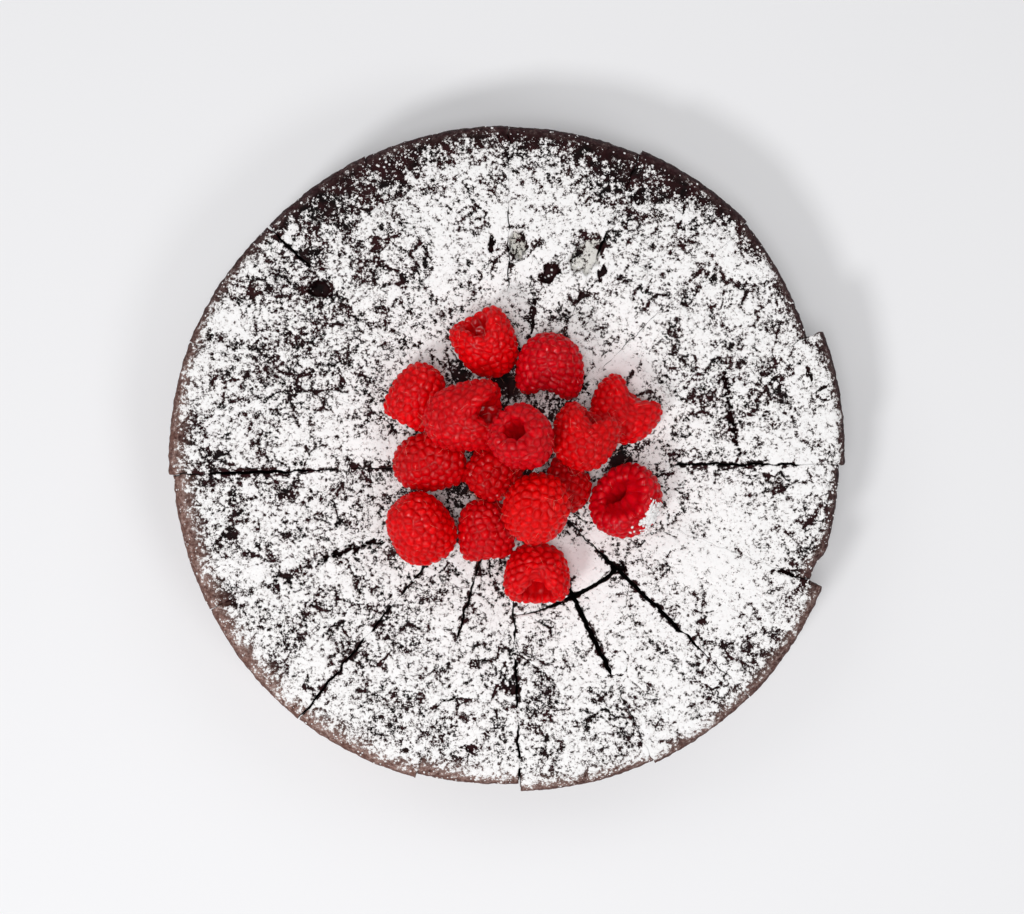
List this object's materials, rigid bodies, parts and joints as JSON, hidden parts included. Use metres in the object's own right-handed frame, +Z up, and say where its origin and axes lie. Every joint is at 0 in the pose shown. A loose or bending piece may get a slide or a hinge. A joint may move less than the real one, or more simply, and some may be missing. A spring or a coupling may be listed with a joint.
{
  "type": "austrian chocolate cake",
  "caption": "Round dark chocolate torte dusted with icing sugar, cut into slices that keep the whole's shape, with a heap of raspberries on its sunken middle.",
  "frame": {"origin": "middle of the underside of the whole cake, on the surface it stands on", "axes": "+Z up; +X and +Y are level, +X to the right and +Y away as the cake is seen from straight above"},
  "size_m": [0.2396, 0.236, 0.0786],
  "materials": {
    "chocolate_crust": "dry dark chocolate crust, papery and crazed, with a patchy dusting of icing sugar",
    "raspberry": "fresh red raspberry, satin drupelets with fine pale hairs"
  },
  "bodies": {
    "root": {"slice_01": "chocolate_crust", "slice_02": "chocolate_crust", "slice_03": "chocolate_crust", "slice_04": "chocolate_crust", "slice_05": "chocolate_crust", "slice_06": "chocolate_crust", "slice_07": "chocolate_crust", "slice_08": "chocolate_crust", "slice_09": "chocolate_crust", "slice_10": "chocolate_crust", "slice_11": "chocolate_crust", "slice_12": "chocolate_crust", "slice_13": "chocolate_crust", "slice_13_point": "chocolate_crust", "slice_14": "chocolate_crust", "slice_14_point": "chocolate_crust", "slice_15": "chocolate_crust", "slice_16": "chocolate_crust", "raspberry_01": "raspberry", "raspberry_02": "raspberry", "raspberry_03": "raspberry", "raspberry_04": "raspberry", "raspberry_05": "raspberry", "raspberry_06": "raspberry", "raspberry_07": "raspberry", "raspberry_08": "raspberry", "raspberry_09": "raspberry", "raspberry_10": "raspberry", "raspberry_11": "raspberry", "raspberry_12": "raspberry", "raspberry_13": "raspberry", "raspberry_14": "raspberry", "raspberry_15": "raspberry"}
  },
  "joints": []
}
